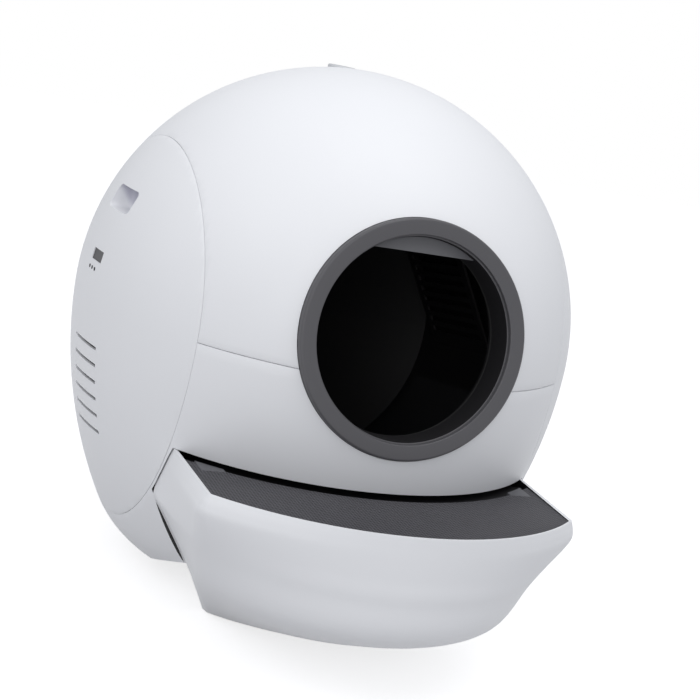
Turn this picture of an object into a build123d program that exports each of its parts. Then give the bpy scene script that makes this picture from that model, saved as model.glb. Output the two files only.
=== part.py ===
from build123d import *
import os
from math import asin, atan2, cos, degrees, pi, radians, sin, sqrt

# Self cleaning litter box: a ball shaped housing with a round entrance tilted up at the front,
# a litter drum that turns inside it about the entrance's axis, and a wide drawer below whose
# flared front is the step. Millimetres, +Z up, the entrance faces -Y, the origin lies on the
# floor under the middle of the whole box.

# Housing
ball_radius = 280.0        # upper half, an exact half ball
flank_radius = 494.0       # profile of the lower half, tangent to the ball at its equator
edge_radius = 110.0        # rounding between the flank and the flat bottom
relief_angle = 20.0        # rise of the underside to the front, on both sides of the bin's keel
relief_start = 20.0        # its lowest line, in front of the ball's centre
keel_margin = 1.0          # between the bin's way and the inside of the keel
base_depth = 295.0         # from the ball's centre down to the flat bottom
foot_height = 6.0
wall = 4.0
pod_depth = 74.0           # of each side cover, from its seam out to the ball's side
seam_gap = 0.4             # between the upper shell and what stands beside it
split_gap = 0.6            # between the upper and the lower shell
lip_depth = 8.0            # tongue of the upper shell inside the lower one
lip_rise = 25.0
lip_thickness = 2.5
lip_clearance = 1.2
flange_width = 12.0
flange_thickness = 3.0
panel_thickness = 3.0
overrun = 20.0             # how far a cut runs past what it cuts
running_gap = 0.3          # between curved faces that move past each other
inside_runs = 7            # straight runs that stand for each quarter of the housing's inside

# Entrance
tilt = 9.2                 # degrees that the entrance and the drum look up
bezel_radius = 120.0
bezel_gap = 0.5
bezel_setback = 18.0       # of the ring's face, within the ball's radius
bezel_depth = 26.0
bezel_wall = 3.0
bezel_edge = 2.0           # bevel of the ring's two edges
opening_radius = 102.0
throat_depth = 36.0        # from the ring's face to the end of its throat
throat_end_radius = 100.0
bezel_flange_width = 10.0
visor_height = 78.6        # the visor's straight edge above the drum's axis
visor_setback = 11.0
visor_thickness = 3.0
sensor_board_size = (60.0, 12.0, 1.6)
sensor_size = (12.0, 8.0, 2.4)
seal_width = 4.0
seal_depth = 2.6

# Release knob behind the top of the upper shell
knob_radius = 16.5
knob_y = 97.0              # behind the ball's centre
knob_drop = 2.5            # from the ball's top down to the knob's
knob_height = 30.0
knob_edge = 2.0
knob_travel = 4.0
knob_socket_wall = 2.5

# Drum, in its own frame: +Z along its axis towards the entrance, +Y up
drum_room = 96.0           # round the drum, for the drive and the rollers
drum_wall = 2.5
drum_half_length = 112.0
mouth_radius = 104.0
mouth_gap = 4.0            # from the drum's mouth to the throat
mouth_collar = 10.0
rear_room = 68.0           # behind the drum, for its bearing
rear_face_radius = 70.0
joint_flange_width = 6.0
joint_flange_thickness = 3.0
stub_radius = 12.0
stub_length = 28.0
port_start = -92.0
port_end = -14.0
port_half_angle = 28.0
liner_thickness = 2.0
liner_half_angle = 70.0
liner_half_length = 90.0
sifter_angles = (-5.0, 60.0)
sifter_length = 150.0
sifter_thickness = 2.5
sifter_slot = 7.0
sifter_bar = 6.0
sifter_border = 12.0
clip_size = (22.0, 9.0, 12.0)
clip_count = 6

# Drive
gear_rise = 8.0            # of the gear's pitch circle above the drum
drum_teeth = 96
pinion_teeth = 14
gear_start = 8.0
gear_width = 10.0
mesh_clearance = 0.6
pinion_angle = -12.0       # from the drum's +X, seen from the entrance
pinion_shaft_radius = 4.0
gearbox_size = (52.0, 56.0, 22.0)
gearbox_gap = 3.0
motor_radius = 17.0
motor_length = 46.0
motor_offset = 8.0

# Rollers and cradle
roller_radius = 13.0
roller_width = 10.0
roller_angle = 38.0        # each side of the drum's lowest line
roller_place = 98.0        # each way along the axis from the ball's centre
axle_radius = 2.5
axle_clearance = 0.06
ear_thickness = 3.0
ear_gap = 0.4
ear_width = 22.0
ear_gap_to_drum = 4.5
cradle_gap = 16.0          # between the drum and the trough
cradle_thickness = 3.5
cradle_half_angle = 53.0
cradle_front = 125.0
cradle_rear = -118.0
chute_half_angle = 25.0
chute_front = 8.0
leg_gap = 15.0             # between the bin and each side wall
leg_thickness = 3.5
leg_front = -115.0
leg_rear = 116.0

# Drawer
tray_back = -148.0         # from the ball's centre
step_reach = 106.7         # of the step's front, past the ball's front
tray_half_width = 198.0
tray_wall = 3.0
tray_gap = 1.5
tray_inside_runs = 26      # straight runs round each level of its inside
rim_drop = 115.0           # from the ball's centre down to the rim of the step
shell_edge_drop = 112.0
deck_drop = 123.0
deck_thickness = 3.0
deck_gap = 38.0            # of the deck behind the drum's mouth, clear of its front cone
ledge_width = 6.0
ledge_thickness = 4.0
mat_thickness = 6.0
mat_gap = 2.0
mat_shell_gap = 12.0       # behind the mat, down to the waste drawer
tab_shell_gap = 7.0        # behind the tabs at the mat's back corners
tab_inner_x = 160.0
tab_outer_x = 187.0
pad_radius = 12.0
pad_height = 2.0
pad_x = 70.0
pad_y = -172.0
bin_head_gap = 6.5         # between the cradle and the bin
bin_foot_gap = 14.5        # between the bin and the housing's bottom
bin_front = -172.0
bin_rear = 100.0
bin_top_width = 286.0
bin_base_margin = 8.5      # of the bin's floor inside the rounding of the housing's edge
bin_draft = 8.0            # how far its front and rear lean out
bin_wall = 2.0
bin_corner = 18.0
clamp_overlap = 6.0
clamp_thickness = 3.0
deodorizer_size = (84.0, 52.0, 24.0)
deodorizer_y = -235.0
deodorizer_wall = 2.0
deodorizer_slots = 6
deodorizer_slot_width = 5.0

# Base
plate_thickness = 3.0
plate_half_width = 156.0
plate_front = -118.0
plate_rear = 135.0
runner_height = 9.0
runner_width = 3.0
runner_gap = 1.5
load_cell_size = (40.0, 12.0, 6.0)
load_cell_share = 0.561    # of the flat bottom's radius, each way from the ball's centre
foot_radius = 11.0
foot_place_shares = (0.653, 0.62)
foot_edge = 1.5
inlet_rise = 67.0          # above the housing's bottom
inlet_radius = 8.0
inlet_bore = 2.8
inlet_depth = 14.0
inlet_length = 26.0

# Side covers
grip_y = -32.5
grip_z = 104.5
grip_length = 57.0
grip_height = 25.0
grip_corner = 6.0
grip_depth = 44.0
grip_wall = 2.0
vent_count = 6
vent_pitch = 18.0
vent_height = 3.6
vent_length = 64.0
vent_y = -40.0
vent_top = -49.0
screen_y = -35.5
screen_z = 42.5
screen_size = (29.0, 12.0, 2.0)
screen_inset = 0.5
key_radius = 1.8
key_gap = 0.3
key_z = 28.0
key_count = 3
key_first_y = -22.0
key_pitch = 8.0
key_length = 9.0
key_proud = 0.4
key_travel = 0.8
display_board_size = (1.6, 34.0, 28.0)
display_peg_radius = 2.5
display_peg_inset = 4.0
screw_radius = 2.0
screw_head_radius = 4.0
screw_head_height = 2.8
screw_length = 12.0
screw_angles = (-20.0, -160.0, -130.0, -50.0)

# Left pod
fan_size = 80.0
fan_depth = 15.0
fan_bore = 36.0
fan_tip_gap = 1.5
fan_hub_radius = 14.0
fan_blades = 7
fan_blade_thickness = 1.6
fan_blade_pitch = 35.0
fan_strut = 3.0
fan_corner = 4.0
fan_shaft_radius = 3.0
board_size = (1.6, 92.0, 70.0)
board_y = 78.0
board_z = -20.0
board_standoff = 6.0
board_standoff_radius = 3.0
board_chip = (3.0, 18.0, 18.0)
chip_place_shares = ((-0.24, 0.18), (0.18, 0.2), (0.04, -0.2))

# Places that follow from the sizes above
seam_x = ball_radius - pod_depth
bezel_face = ball_radius - bezel_setback
bezel_back = bezel_face - bezel_depth
throat_end = bezel_face - throat_depth
knob_top = ball_radius - knob_drop
drum_radius = ball_radius - drum_room
mouth_end = throat_end - mouth_gap
rear_end = ball_radius - rear_room
joint_flange_radius = drum_radius + joint_flange_width
gear_module = 2 * (drum_radius + gear_rise) / drum_teeth
ear_inner = drum_radius + ear_gap_to_drum
cradle_radius = drum_radius + cradle_gap
leg_x = bin_top_width / 2 + leg_gap
tray_reach = ball_radius + step_reach
tray_drop = base_depth + foot_height - pad_height
deck_back = deck_gap - mouth_end
bin_top_drop = cradle_radius + cradle_thickness + bin_head_gap
bin_bottom_drop = base_depth - bin_foot_gap
inlet_drop = base_depth - inlet_rise
ball_y = step_reach / 2
ball_z = base_depth + foot_height
ball_frame = Location((0, ball_y, ball_z))
drum_frame = ball_frame * Location((0, 0, 0), (90 - tilt, 0, 0))
flank_x = ball_radius - flank_radius
edge_z = edge_radius - base_depth
edge_x = flank_x + sqrt((flank_radius - edge_radius) ** 2 - edge_z ** 2)
edge_angle = degrees(atan2(edge_z, edge_x - flank_x))
bin_bottom_width = 2 * (edge_x - bin_base_margin)
foot_x, foot_y = [share * edge_x for share in foot_place_shares]
far = 2 * ball_radius
panel_x = seam_x + panel_thickness
key_places = [key_first_y - index * key_pitch for index in range(key_count)]
corners = [(x, y) for y in (-1, 1) for x in (-1, 1)]
floor_top = wall - base_depth
plate_top = floor_top + plate_thickness

# Step tray: each level of its body from the lip down to the flat bottom. Depth is a share of
# the way from the rim down to tray_drop, the half widths at the back and at the front corner
# and the corner's radius are shares of tray_half_width, the corner's and the front's places
# are shares of tray_reach.
tray_level_shares = (
    (0.1196, 1.0, 0.995, 0.7836, 0.9904, 0.091),
    (0.2337, 0.9975, 0.9722, 0.75, 0.9969, 0.202),
    (0.3641, 0.9798, 0.9394, 0.6982, 0.9982, 0.3535),
    (0.5924, 0.8636, 0.8485, 0.6077, 0.9749, 0.5556),
    (0.7881, 0.7626, 0.7576, 0.4913, 0.7991, 0.4545),
    (0.9293, 0.6768, 0.6717, 0.4448, 0.631, 0.202),
    (1.0, 0.6364, 0.6263, 0.4319, 0.5301, 0.0808),
)

parts = {}


def keep(name, shape, frame=ball_frame):
    """Keeps a piece, drawn in the given frame, under its node's name."""
    parts[name] = frame * shape


def block(x0, x1, y0, y1, z0, z1):
    """A box between two corners."""
    return Pos((x0 + x1) / 2, (y0 + y1) / 2, (z0 + z1) / 2) * Box(x1 - x0, y1 - y0, z1 - z0)


def housing():
    """The housing's outer form: half a ball over a rounded flank and a flat bottom."""
    outline = CenterArc((0, 0), ball_radius, 0, 90)
    outline += CenterArc((flank_x, 0), flank_radius, edge_angle, -edge_angle)
    outline += CenterArc((edge_x, edge_z), edge_radius, -90, 90 + edge_angle)
    outline += Line((edge_x, -base_depth), (0, -base_depth))
    outline += Line((0, -base_depth), (0, ball_radius))
    return revolve(Plane.XZ * make_face(outline.edges()), Axis.Z)


def arc_points(x, z, radius, start, end, count):
    """Points that divide an arc into equal runs, its first one left out."""
    points = []
    for index in range(1, count + 1):
        angle = radians(start + (end - start) * index / count)
        points.append((x + radius * cos(angle), z + radius * sin(angle)))
    return points


def housing_inside(inset):
    """The housing's inside, in straight runs, drawn in from the outer form by inset."""
    points = [(0, ball_radius - inset)]
    points += arc_points(0, 0, ball_radius - inset, 90, 0, inside_runs)[:-1]
    points += [(ball_radius - inset, 0)]
    points += arc_points(flank_x, 0, flank_radius - inset, 0, edge_angle, inside_runs // 2)
    points += arc_points(edge_x, edge_z, edge_radius - inset, edge_angle, -90, inside_runs // 2)
    return lathe(points + [(0, inset - base_depth)])


def bin_way(grow, foot):
    """The bin's way out to the front, drawn out by grow on each side and down to the foot."""
    top, bottom = bin_top_width / 2 + tray_gap, bin_bottom_width / 2 + tray_gap
    top_z = clamp_thickness + tray_gap - bin_top_drop
    bottom_z = -bin_bottom_drop - tray_gap
    bottom -= (bottom_z - foot) * (top - bottom) / (top_z - bottom_z)
    points = [(-bottom - grow, foot), (bottom + grow, foot), (top + grow, top_z), (-top - grow, top_z)]
    return extrude(Plane.XZ * make_face(Polyline(*points, close=True).edges()), far)


def underside_relief(inset):
    """What the slopes beside the bin's keel take off the housing, drawn in by inset."""
    slope = Pos(0, -relief_start, -base_depth) * Rot(-relief_angle, 0, 0)
    slope = slope * Pos(0, 0, inset - far / 2) * Box(2 * far, 2 * far, far)
    return slope - bin_way(wall + keel_margin - inset, -base_depth - overrun)


def ring(outer, inner, start, end):
    """A tube along Z."""
    tube = Cylinder(outer, end - start) - Cylinder(inner, end - start)
    return Pos(0, 0, (start + end) / 2) * tube


def disc(radius, start, end):
    """A round bar along Z."""
    return Pos(0, 0, (start + end) / 2) * Cylinder(radius, end - start)


def lathe(points):
    """Turns a closed outline of (radius, height) points about Z."""
    return revolve(Plane.XZ * make_face(Polyline(*points, close=True).edges()), Axis.Z)


def wedge(angle0, angle1, reach):
    """A flat sector about the origin, between two angles under half a turn apart."""
    middle = radians((angle0 + angle1) / 2)
    half = radians((angle1 - angle0) / 2)
    long = reach / cos(half / 2) ** 2
    points = [(0, 0)]
    for angle in (middle - half, middle - half / 2, middle + half / 2, middle + half):
        points.append((long * cos(angle), long * sin(angle)))
    return make_face(Polyline(*points, close=True).edges())


def curved_plate(outer, inner, angle0, angle1, start, end):
    """A plate bent about Z between two radii, two angles and two heights."""
    sector = (Circle(outer) - Circle(inner)) & wedge(angle0, angle1, outer)
    return extrude(Pos(0, 0, start) * sector, end - start)


def around(radius, angle, height=0.0):
    """A place at a radius and an angle about Z, turned with the angle."""
    return Rot(0, 0, angle) * Pos(radius, 0, height)


def along_x(x, y, z):
    """A frame whose Z points along +X."""
    return Pos(x, y, z) * Rot(0, 90, 0)


def rounded_bar(x0, x1, y, z, length, height, corner):
    """A bar along X with a rounded rectangle for its section."""
    section = RectangleRounded(height, length, corner)
    return extrude(along_x(x0, y, z) * section, x1 - x0, dir=(1, 0, 0))


def mirror_x(shape):
    return mirror(shape, Plane.YZ)


def ball_x(y, z):
    """How far out the upper half's skin lies beside the ball's centre."""
    return sqrt(ball_radius ** 2 - y ** 2 - z ** 2)


def gear_outline(teeth, backlash_share=0.12):
    """A spur gear's outline with straight flanks, a tooth on +X."""
    pitch_radius = gear_module * teeth / 2
    tip = pitch_radius + 0.8 * gear_module
    root = pitch_radius - 1.05 * gear_module
    step = 2 * pi / teeth
    tip_share, root_share = 0.13, 0.36 - backlash_share / 2
    points = []
    for tooth in range(teeth):
        middle = tooth * step
        for radius, share in ((root, -root_share), (tip, -tip_share), (tip, tip_share), (root, root_share)):
            angle = middle + share * step
            points.append((radius * cos(angle), radius * sin(angle)))
    return make_face(Polyline(*points, close=True).edges())


def level_height(shares):
    """How high a level of the tray lies, from the ball's centre."""
    return -rim_drop - shares[0] * (tray_drop - rim_drop)


lip_bottom = level_height(tray_level_shares[0])


def tray_outline(shares, inset, back):
    """One level of the step tray's hull as a flat outline, drawn in by inset and cut at back."""
    depth, back_share, corner_share, corner_y, front, corner_radius = shares
    back_width = tray_half_width * back_share - inset
    corner_width = tray_half_width * corner_share - inset
    corner = inset / 2 - tray_reach * corner_y
    outline = Line((-back_width, back), (back_width, back))
    outline += Line((back_width, back), (corner_width, corner))
    outline += ThreePointArc((corner_width, corner), (0, inset - tray_reach * front),
                             (-corner_width, corner))
    outline += Line((-corner_width, corner), (-back_width, back))
    face = make_face(outline.edges())
    front_corners = face.vertices().sort_by(Axis.Y)[:2]
    return fillet(front_corners, tray_half_width * corner_radius - inset / 2)


def lip_slab(inset, back, bottom, top):
    """The upright lip's outline as a slab between two heights."""
    return extrude(Pos(0, 0, bottom) * tray_outline(tray_level_shares[0], inset, back), top - bottom)


def tray_hull(inset, back, top):
    """The tray's outer form: an upright lip over a body that sweeps in to a smaller bottom."""
    levels = [Pos(0, 0, level_height(shares)) * tray_outline(shares, inset, back)
              for shares in tray_level_shares]
    return lip_slab(inset, back, lip_bottom, top) + loft(levels)


def tray_hollow():
    """The tray's inside: its lip as drawn, and its body in straight runs."""
    back = tray_back + overrun
    levels = []
    for shares in tray_level_shares[0::2]:
        wire = tray_outline(shares, tray_wall, back).face().outer_wire()
        points = [wire.position_at(index / tray_inside_runs) for index in range(tray_inside_runs)]
        height = tray_wall + level_height(shares)
        levels.append(Pos(0, 0, height) * make_face(Polyline(*points, close=True).edges()))
    lip = lip_slab(tray_wall, back, lip_bottom + tray_wall, overrun - rim_drop)
    return lip + loft(levels, ruled=True)


# Housing shells
outer_skin = housing() - underside_relief(0)
inner_space = housing_inside(wall) - underside_relief(wall)
skin = outer_skin - inner_space
flange_stock = inner_space - housing_inside(wall + flange_width)
ball_in_drum = drum_frame.inverse() * ball_frame
drum_in_ball = ball_frame.inverse() * drum_frame
entrance_cut = drum_in_ball * disc(bezel_radius + bezel_gap, ball_radius / 2, far)


def make_upper_shell():
    half_width = seam_x - seam_gap
    shell = skin & block(-half_width, half_width, -far, far, split_gap / 2, far)
    lip_outer = ball_radius - wall - lip_clearance
    lip = ring(lip_outer, lip_outer - lip_thickness, -lip_depth, lip_rise)
    lip = lip & block(-half_width, half_width, -far, far, -far, far)
    flange_reach = bezel_radius + bezel_flange_width + bezel_gap
    shell = shell + (lip - drum_in_ball * disc(flange_reach, 0, far))
    socket_floor = knob_top - knob_height - knob_travel - knob_socket_wall
    socket_outer = knob_radius + running_gap + knob_socket_wall
    socket = Pos(0, knob_y, 0) * disc(socket_outer, socket_floor, ball_radius)
    shell = shell + (socket & outer_skin)
    well = disc(knob_radius + running_gap, socket_floor + knob_socket_wall, far)
    shell = shell - Pos(0, knob_y, 0) * well
    return shell - entrance_cut


def make_knob():
    knob = disc(knob_radius, knob_top - knob_height, knob_top)
    knob = chamfer(knob.edges().group_by(Axis.Z)[-1], knob_edge)
    return Pos(0, knob_y, 0) * knob


def make_lower_shell():
    shell = skin & block(-seam_x, seam_x, -far, far, -far, -split_gap / 2)
    for side in (-1, 1):
        inner, outer = sorted((side * (seam_x - flange_thickness), side * seam_x))
        slab = block(inner, outer, -far, far, -far, -split_gap / 2 - lip_depth)
        shell = shell + (flange_stock & slab)
    shell = shell - entrance_cut
    shell = shell - tray_hull(-tray_gap, tray_back + tray_gap, -shell_edge_drop)
    shell = shell - bin_way(0, -bin_bottom_drop - tray_gap)
    shell = shell - Pos(0, far / 2, -inlet_drop) * Rot(90, 0, 0) * Cylinder(inlet_radius, far)
    for place in screw_places(1):
        shell = shell - place * Cylinder(screw_radius + axle_clearance, 2 * far)
    return shell


def seam_radius(depth):
    """Radius of the skin, drawn in by depth, where the seam's plane cuts the ball."""
    return sqrt((ball_radius - depth) ** 2 - seam_x ** 2)


def screw_places(side):
    """Frames of the cover screws, along X, on the middle of the lower flange."""
    radius = seam_radius(wall) - flange_width / 2
    places = []
    for angle in screw_angles:
        turn = radians(angle)
        places.append(along_x(side * seam_x, radius * cos(turn), radius * sin(turn)))
    return places


def make_screws():
    screws = []
    for side in (-1, 1):
        for place in screw_places(side):
            reach = side * (screw_length / 2 - flange_thickness)
            shank = place * Pos(0, 0, reach) * Cylinder(screw_radius, screw_length)
            head_middle = -side * (flange_thickness + screw_head_height / 2)
            head = place * Pos(0, 0, head_middle) * Cylinder(screw_head_radius, screw_head_height)
            screws.append(shank + head)
    return Compound(children=screws)


# Side covers
def vent_cuts():
    cuts = []
    for row in range(vent_count):
        z = vent_top - row * vent_pitch
        cuts.append(block(-far, -seam_x, vent_y - vent_length / 2, vent_y + vent_length / 2,
                          z - vent_height / 2, z + vent_height / 2))
    return cuts


def grip_bar(grow, depth):
    """The grip pocket's bar on the left, reaching in from outside to the given depth."""
    length, height = grip_length + 2 * grow, grip_height + 2 * grow
    return rounded_bar(-far, depth - ball_radius, grip_y, grip_z, length, height, grip_corner + grow)


def screen_frame():
    """A frame on the left of the ball behind the display, its Z along the skin's normal."""
    turn = degrees(asin(-screen_y / ball_radius))
    rise = degrees(asin(screen_z / ball_radius))
    return Rot(0, 0, turn) * Rot(0, rise, 0) * Rot(0, -90, 0) * Rot(0, 0, 90)


def make_left_cover():
    cover = make_cover()
    for cut in vent_cuts():
        cover = cover - cut
    cut = Box(screen_size[0], screen_size[1], far / 4)
    cover = cover - screen_frame() * Pos(0, 0, ball_radius) * cut
    board_front = display_board_x() - display_board_size[0]
    peg_z = (screen_z + key_z) / 2 - display_board_size[2] / 2 + display_peg_inset
    for side in (-1, 1):
        peg_y = screen_y + side * (display_board_size[1] / 2 - display_peg_inset)
        peg = along_x(board_front - far / 2, peg_y, peg_z) * Cylinder(display_peg_radius, far)
        cover = cover + (peg & outer_skin)
    for y in key_places:
        cover = cover - along_x(-far / 2, y, key_z) * Cylinder(key_radius + key_gap, far / 2)
    return cover


def make_cover():
    """The left cover without its display."""
    cover = skin & block(-far, -seam_x - panel_thickness, -far, far, -far, far)
    rim = skin & block(-panel_x, -seam_x, -far, far, -far, far)
    flange = flange_stock & block(-panel_x - flange_thickness, -panel_x, -far, far, -far, far)
    cover = cover + rim + flange
    cover = cover - grip_bar(grip_wall, grip_depth)
    for place in screw_places(-1):
        cover = cover - place * Cylinder(screw_radius + axle_clearance, far / 4)
    return cover


def make_panel():
    panel = inner_space & block(-panel_x, -seam_x, -far, far, -far, far)
    for place in screw_places(-1):
        panel = panel - place * Cylinder(screw_radius + axle_clearance, far / 4)
    return panel


def make_grip():
    """A pocket for the fingers, flush with the skin."""
    cup = grip_bar(grip_wall, grip_depth) & outer_skin
    return cup - grip_bar(0, grip_depth - grip_wall)


def display_board_x():
    """The board's inner face, behind the keys' travel."""
    return -(ball_x(min(key_places), key_z) - key_length - key_travel - display_board_size[0])


def make_display_window():
    depth = ball_radius - screen_inset - screen_size[2]
    return screen_frame() * Pos(0, 0, depth) * Box(*screen_size)


def make_display_board():
    front = display_board_x() - display_board_size[0]
    thickness, width, height = display_board_size
    middle_z = (screen_z + key_z) / 2
    board = block(front, front + thickness, screen_y - width / 2, screen_y + width / 2,
                  middle_z - height / 2, middle_z + height / 2)
    lamp_reach = ball_x(screen_y, screen_z) - screen_inset - 2 * screen_size[2]
    lamp = block(-lamp_reach, front, screen_y - screen_size[0] / 3, screen_y + screen_size[0] / 3,
                 screen_z - screen_size[1] / 3, screen_z + screen_size[1] / 3)
    return (board + lamp) & inner_space


def make_key(y):
    reach = ball_x(y, key_z) + key_proud
    key = Cylinder(key_radius, key_length)
    return along_x(-reach + key_length / 2, y, key_z) * key


# Left pod
fan_z = vent_top - vent_pitch * (vent_count - 1) / 2


def make_fan_housing():
    frame = rounded_bar(0, fan_depth, 0, 0, fan_size, fan_size, fan_corner)
    frame = frame - along_x(fan_depth / 2, 0, 0) * Cylinder(fan_bore, fan_depth)
    plate = along_x(fan_depth - fan_strut / 2, 0, 0) * Cylinder(fan_hub_radius, fan_strut)
    for turn in (0, 60, 120):
        strut = Box(fan_strut, 2 * fan_bore + fan_strut, fan_strut)
        plate = plate + Pos(fan_depth - fan_strut / 2, 0, 0) * Rot(turn, 0, 0) * strut
    pin = along_x(fan_depth / 2, 0, 0) * Cylinder(fan_shaft_radius, fan_depth - fan_strut)
    return Pos(-panel_x - fan_depth, vent_y, fan_z) * (frame + plate + pin)


def make_fan_impeller():
    depth = fan_depth - 2 * fan_strut
    hub = disc(fan_hub_radius, 0, depth)
    blade_reach = fan_bore - fan_tip_gap
    for index in range(fan_blades):
        blade = Box(blade_reach - fan_hub_radius / 2, fan_blade_thickness, depth)
        blade = Rot(fan_blade_pitch, 0, 0) * blade
        middle = (blade_reach + fan_hub_radius / 2) / 2
        hub = hub + around(middle, index * 360 / fan_blades, depth / 2) * blade
    hub = hub & disc(blade_reach, 0, depth)
    hub = hub - disc(fan_shaft_radius + axle_clearance, -overrun, depth + overrun)
    return Pos(-panel_x - fan_depth + fan_strut / 2, vent_y, fan_z) * Rot(0, 90, 0) * hub


def make_control_board():
    thickness, width, height = board_size
    inner = -panel_x - board_standoff
    board = block(inner - thickness, inner, board_y - width / 2, board_y + width / 2,
                  board_z - height / 2, board_z + height / 2)
    for y, z in corners:
        place_y = board_y + y * (width / 2 - 2 * board_standoff_radius)
        place_z = board_z + z * (height / 2 - 2 * board_standoff_radius)
        post = Cylinder(board_standoff_radius, board_standoff)
        board = board + along_x(inner + board_standoff / 2, place_y, place_z) * post
    for y_share, z_share in chip_place_shares:
        chip_x = inner - thickness - board_chip[0] / 2
        place = Pos(chip_x, board_y + y_share * width, board_z + z_share * height)
        board = board + place * Box(*board_chip)
    return board


# Entrance
def make_bezel():
    """A channel: the ring's face, its outer wall and the throat that leads to the drum."""
    inner_wall = opening_radius + bezel_wall
    outer_wall = bezel_radius - bezel_wall
    under_face = bezel_face - bezel_wall
    bezel = lathe([
        (bezel_radius, bezel_back), (bezel_radius, bezel_face - bezel_edge),
        (bezel_radius - bezel_edge, bezel_face), (opening_radius + bezel_edge, bezel_face),
        (opening_radius, bezel_face - bezel_edge), (throat_end_radius, throat_end),
        (throat_end_radius + bezel_wall, throat_end), (inner_wall, under_face),
        (outer_wall, under_face), (outer_wall, bezel_back),
    ])
    flange = ring(bezel_radius + bezel_flange_width, outer_wall, bezel_back, bezel_back + bezel_wall)
    above = ball_in_drum * block(-far, far, -far, far, split_gap, far)
    return bezel + (flange & above)


def make_visor():
    shift = bezel_face - visor_setback - visor_thickness
    slope = (opening_radius - throat_end_radius) / (bezel_face - throat_end)
    radius = opening_radius - slope * (visor_setback + visor_thickness)
    section = Circle(radius) & Pos(0, visor_height + far / 2) * Rectangle(far, far)
    return extrude(Pos(0, 0, shift) * section, visor_thickness)


def make_sensor_board():
    back = bezel_face - visor_setback - visor_thickness
    width, height, thickness = sensor_board_size
    middle = visor_height + height / 2 + sensor_board_size[2]
    sensor = Pos(0, middle, back - sensor_size[2] / 2) * Box(*sensor_size)
    board = Pos(0, middle, back - sensor_size[2] - thickness / 2) * Box(width, height, thickness)
    round_limit = disc(throat_end_radius - thickness, throat_end, bezel_face)
    return sensor + (board & round_limit)


def make_seal():
    return ring(throat_end_radius + seal_width, throat_end_radius, throat_end - seal_depth, throat_end)


# Drum
def drum_solid(inset, front):
    """The drum's outline as a solid, drawn in by inset; the front half or the rear half."""
    radius = drum_radius - inset
    if front:
        neck = mouth_radius + drum_wall - inset
        points = [(0, 0), (radius, 0), (radius, drum_half_length), (neck, mouth_end - mouth_collar),
                  (neck, mouth_end + inset), (0, mouth_end + inset)]
    else:
        points = [(0, 0), (radius, 0), (radius, -drum_half_length),
                  (rear_face_radius, inset - rear_end), (0, inset - rear_end)]
    return lathe(points)


def make_drum_front():
    shell = drum_solid(0, True) - drum_solid(drum_wall, True)
    flange = ring(joint_flange_radius, drum_radius - drum_wall, 0, joint_flange_thickness)
    return shell + flange


def make_drum_rear():
    shell = drum_solid(0, False) - drum_solid(drum_wall, False)
    flange = ring(joint_flange_radius, drum_radius - drum_wall, -joint_flange_thickness, 0)
    stub = disc(stub_radius, -rear_end - stub_length, -rear_end + drum_wall)
    port = curved_plate(drum_radius + overrun, drum_radius - overrun,
                        90 - port_half_angle, 90 + port_half_angle, port_start, port_end)
    return shell + flange + stub - port


def make_drum_gear():
    teeth = gear_outline(drum_teeth) - Circle(drum_radius)
    return extrude(Pos(0, 0, gear_start) * teeth, gear_width)


def make_liner():
    radius = drum_radius - drum_wall
    return curved_plate(radius, radius - liner_thickness, -90 - liner_half_angle,
                        -90 + liner_half_angle, -liner_half_length, liner_half_length)


def make_sifter():
    """A slotted panel across one side of the drum, beside the waste port."""
    middle = sum(sifter_angles) / 2
    half = radians(sifter_angles[1] - sifter_angles[0]) / 2
    radius = drum_radius - drum_wall
    distance = radius * cos(half)
    width = 2 * radius * sin(half)
    panel = Box(sifter_thickness, width, sifter_length)
    pitch = sifter_slot + sifter_bar
    count = int((width - 2 * sifter_border) / pitch)
    for index in range(count):
        shift = (index - (count - 1) / 2) * pitch
        panel = panel - Pos(0, shift, 0) * Box(far, sifter_slot, sifter_length - 2 * sifter_border)
    panel = Rot(0, 0, middle) * Pos(distance, 0, 0) * panel
    return panel & disc(radius, -sifter_length, sifter_length)


def make_clips():
    """Snap clips that hold the two halves' flanges together."""
    width, depth, length = clip_size
    clips = []
    for index in range(clip_count):
        clip = Box(depth, width, length)
        groove = Box(depth, far, 2 * joint_flange_thickness)
        clip = clip - Pos(joint_flange_radius - drum_radius - depth, 0, 0) * groove
        angle = 90 + (index + 0.5) * 360 / clip_count
        place = around(drum_radius + depth / 2, angle)
        clips.append((place * clip) - disc(drum_radius, -far, far))
    return Compound(children=clips)


# Drive and rollers
drum_pitch_radius = gear_module * drum_teeth / 2
pinion_pitch_radius = gear_module * pinion_teeth / 2
pinion_distance = drum_pitch_radius + pinion_pitch_radius + mesh_clearance
pinion_place = around(pinion_distance, pinion_angle, gear_start)


def make_pinion():
    # the tooth gap opposite the drum's nearest tooth, turned to where the teeth mesh
    drum_phase = (pinion_angle * drum_teeth / 360) % 1
    pinion_phase = (0.5 + drum_phase) % 1
    facing = 180 + pinion_phase * 360 / pinion_teeth
    pinion = extrude(Rot(0, 0, facing) * gear_outline(pinion_teeth), gear_width)
    shaft = disc(pinion_shaft_radius, 0, gear_width + gearbox_gap)
    return pinion_place * (pinion + shaft)


def make_gear_motor():
    """Gearbox and motor in the right pod, on the inner panel."""
    start = gear_width + gearbox_gap
    width, height, length = gearbox_size
    shift = pinion_distance * cos(radians(pinion_angle)) - panel_x
    box_middle = width / 2 - shift
    box = Pos(box_middle, 0, start + length / 2) * Box(width, height, length)
    can_middle = box_middle - motor_offset
    can = Pos(can_middle, 0, 0) * disc(motor_radius, start + length, start + length + motor_length)
    motor = Rot(0, 0, -pinion_angle) * (box + can)
    return pinion_place * motor


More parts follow.
